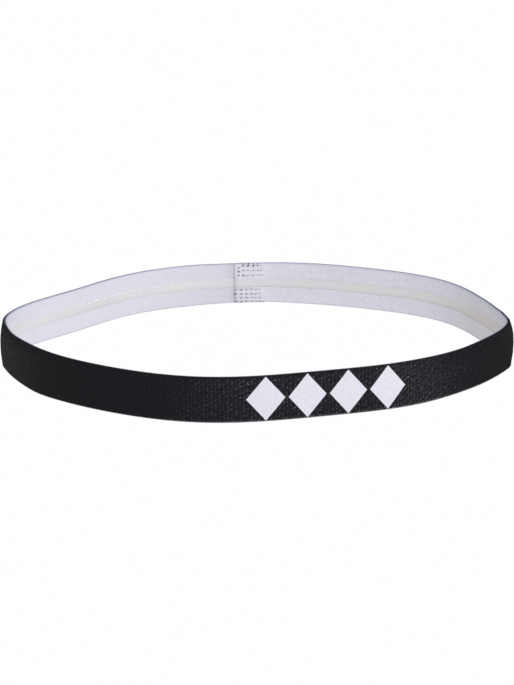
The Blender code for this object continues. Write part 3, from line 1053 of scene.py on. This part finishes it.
def loops_inside(rows):
    """The black loops that show on the head side, one at each stitch."""
    made = []
    for r in rows:
        for x, z, pull in STITCHES[r]:
            half_width = 0.13 + 0.17 * pull
            radius = 0.055 + 0.095 * pull
            level = -OVER + 0.10 - 0.12 * pull
            slant = RNG.uniform(-0.10, 0.12)
            path, radii = [], []
            for a in np.linspace(-1, 1, 13):
                arch = math.cos(a * math.pi / 2) ** 0.7 if abs(a) < 1 else 0.0
                up = z + slant * a + 0.03 * math.sin(3 * a)
                path.append(lap_point(x + half_width * a, level + 0.22 - 0.26 * arch, up))
                radii.append(radius * (0.55 + 0.45 * math.cos(a * math.pi / 2)))
            made.append(tube(path, radii, sides=10))
    return made


# A loop over the top edge: x from its stitch, offset from the head side, z from its stitch.
RIM_LOOP = (
    (0.05, 0.22, 0.44), (0.06, -0.02, 0.52), (0.08, -0.02, 0.62),
    (0.09, 0.08, 0.72), (0.09, 0.25, 0.78), (0.08, 0.45, 0.70),
)


def over_the_rim():
    """The top row's loops reach over the top edge, all but the first and last."""
    made = []
    for x, z, pull in STITCHES[-1][1:-1]:
        path = [lap_point(x + dx, -OVER + out, z + dz) for dx, out, dz in RIM_LOOP]
        made.append(tube(path, 0.05 + 0.07 * pull))
    return made


def runs_outside(rows):
    """The black stitches along the outer face, from hole to hole."""
    made = []
    for r in rows:
        for (x0, z0, _), (x1, z1, _) in zip(STITCHES[r], STITCHES[r][1:]):
            path, radii = [], []
            for a in np.linspace(0, 1, 21):
                arch = min(1.0, 6 * min(a, 1 - a)) ** 0.5
                out = OVER - 0.28 + 0.36 * arch
                path.append(lap_point(x0 + (x1 - x0) * a, out, z0 + (z1 - z0) * a))
                radii.append(0.11 + 0.01 * math.sin(40 * a))
            made.append(tube(path, radii, sides=10))
    return made


def legs(rows):
    """The needle thread through the lap."""
    depths = np.linspace(-OVER + 0.12, OVER - 0.12, 9)
    return [
        tube([lap_point(x, out, z) for out in depths], 0.085, sides=6)
        for r in rows
        for x, z, _ in STITCHES[r]
    ]


def bobbin(rows):
    """A white thread along each row on the head side, dipping at the stitches."""
    made = []
    for r in rows:
        stitch_x, stitch_z, _ = zip(*STITCHES[r])
        xs = np.linspace(stitch_x[0] - 0.35, stitch_x[-1] + 0.35, 90)
        zs = np.interp(xs, stitch_x, stitch_z)
        dip = np.zeros_like(xs)
        for middle in stitch_x:
            dip = np.maximum(dip, np.exp(-(((xs - middle) / 0.22) ** 2)))
        path = [lap_point(x, -OVER - 0.015 + 0.13 * d, z) for x, z, d in zip(xs, zs, dip)]
        made.append(tube(path, 0.075))
    return made


# ------------------------------------------------------- pieces and their bodies
K_LEFT, K_RIGHT = round((S_LEFT - S_FRONT) / FACE_STEP), round((S_RIGHT - S_FRONT) / FACE_STEP)
K_TAIL, K_END = math.ceil(-S_FRONT / FACE_STEP), math.floor((LENGTH - S_FRONT) / FACE_STEP)
CUT_LEFT, CUT_RIGHT = S_FRONT + K_LEFT * FACE_STEP, S_FRONT + K_RIGHT * FACE_STEP
# Part, its first and last station from the front, its first and last run.
PARTS = (
    ("front", K_LEFT, K_RIGHT, CUT_LEFT, CUT_RIGHT),
    ("rear_left", K_TAIL, K_LEFT, 0.0, CUT_LEFT),
    ("rear_right", K_RIGHT, K_END, CUT_RIGHT, LENGTH),
)

stretched = []  # piece, the body it stands for, its slot
for part, k0, k1, s0, s1 in PARTS:
    piece = face_piece(f"cloth_face_{part}", k0, k1, s0, s1)
    stretched.append((piece, f"face_fabric_{part}", "printed_face"))
for part, _, _, s0, s1 in PARTS:
    piece = lining_piece(f"cloth_lining_{part}", s0, s1)
    stretched.append((piece, f"lining_fabric_{part}", "white_lining"))
for part, _, _, s0, s1 in PARTS:
    piece = grip_piece(f"silicone_{part}", s0, s1)
    stretched.append((piece, f"grip_strip_{part}", "grip_silicone"))
for number, height in enumerate(YARN_HEIGHTS, 1):
    stretched.append((core_yarn(number, height), f"core_yarn_{number:02d}", "core_rubber"))

threads = []
for level, rows, rim_loops in (("lower", LOWER_ROWS, []), ("upper", UPPER_ROWS, over_the_rim())):
    tubes = loops_inside(rows) + rim_loops + runs_outside(rows) + legs(rows)
    piece = joined(f"thread_needle_{level}", tubes, BLACK_THREAD)
    threads.append((piece, f"needle_thread_{level}", "black_thread"))
for level, rows in (("lower", LOWER_ROWS), ("upper", UPPER_ROWS)):
    piece = joined(f"thread_bobbin_{level}", bobbin(rows), WHITE_THREAD)
    threads.append((piece, f"bobbin_thread_{level}", "white_thread"))

for piece, node, slot in stretched:
    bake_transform(piece)
    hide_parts(node)
for piece, node, slot in threads:
    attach(piece, "rear_half")
    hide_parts(node)

# ------------------------------------------------------------------ the studio
scene = bpy.context.scene
scene.view_settings.view_transform = "Standard"
scene.view_settings.look = "None"


def floor_material():
    """A lit table: white to the eye, and a softer light on what stands on it."""
    g = Graph("floor_white")
    rays = g.nodes.new("ShaderNodeLightPath").outputs
    seen = Signal(g, rays["Is Camera Ray"])
    mirrored = Signal(g, rays["Is Glossy Ray"])
    return g.surface({
        "Base Color": (0.0, 0.0, 0.0),
        "Roughness": 0.9,
        "Specular IOR Level": 0.0,
        "Emission Color": (1.0, 1.0, 1.0),
        "Emission Strength": 0.58 + seen * 0.415 - mirrored * 0.50,
    })


def add_floor():
    bpy.ops.mesh.primitive_plane_add(size=8.0, location=(0, 0, -0.0001))
    floor = bpy.context.object
    floor.name = "floor"
    floor.data.materials.append(floor_material())


def add_world(strength, mirrored_strength):
    """A white surround that is dimmer where the cloth mirrors it."""
    world = bpy.data.worlds.new("studio")
    scene.world = world
    world.use_nodes = True
    nodes, links = world.node_tree.nodes, world.node_tree.links
    background = nodes["Background"]
    background.inputs[0].default_value = (1.0, 1.0, 1.0, 1)
    path = nodes.new("ShaderNodeLightPath")
    dim = nodes.new("ShaderNodeMapRange")
    dim.inputs["To Min"].default_value = strength
    dim.inputs["To Max"].default_value = mirrored_strength
    links.new(path.outputs["Is Glossy Ray"], dim.inputs["Value"])
    links.new(dim.outputs[0], background.inputs[1])


def softbox(name, azimuth, elevation, size, power, colour, distance=1.2):
    """A round light aimed at the origin; azimuth is from -y towards +x, in degrees."""
    a, b = math.radians(azimuth), math.radians(elevation)
    at = Vector((
        distance * math.sin(a) * math.cos(b),
        -distance * math.cos(a) * math.cos(b),
        distance * math.sin(b),
    ))
    data = bpy.data.lights.new(name, "AREA")
    data.shape = "DISK"
    data.size = size
    data.energy = power
    data.color = colour
    ob = bpy.data.objects.new(name, data)
    ob.location = at
    ob.rotation_mode = "QUATERNION"
    ob.rotation_quaternion = (-at).to_track_quat("-Z", "Y")
    scene.collection.objects.link(ob)


def add_camera(target, elevation, distance, lens, roll):
    """A camera on the front's side of the target; angles in degrees, lens in mm."""
    data = bpy.data.cameras.new("camera")
    cam = bpy.data.objects.new("camera", data)
    scene.collection.objects.link(cam)
    e = math.radians(elevation)
    cam.location = target + Vector((0, -math.cos(e), math.sin(e))) * distance
    look = (target - cam.location).to_track_quat("-Z", "Y").to_matrix()
    cam.rotation_mode = "QUATERNION"
    turned = look @ Matrix.Rotation(math.radians(roll), 3, "Z")
    cam.rotation_quaternion = turned.to_quaternion()
    data.lens = lens
    data.sensor_width = 36.0
    data.clip_start, data.clip_end = 0.01, 50.0
    scene.camera = cam


add_floor()
add_world(strength=0.622, mirrored_strength=0.05)
COOL, WARM = (0.98, 0.98, 1.05), (1.0, 0.98, 1.00)
softbox("front", azimuth=12, elevation=24, size=0.35, power=4.8, colour=COOL)
softbox("side", azimuth=84, elevation=15, size=0.42, power=2.55, colour=COOL)
softbox("left", azimuth=-75, elevation=25, size=0.50, power=0.48, colour=WARM)
add_camera(
    target=Vector((-0.225 - MIDDLE[0], -MIDDLE[1], 4.835)) * MM,
    elevation=13.723,
    distance=1.0463,
    lens=191.04,
    roll=-0.523,
)
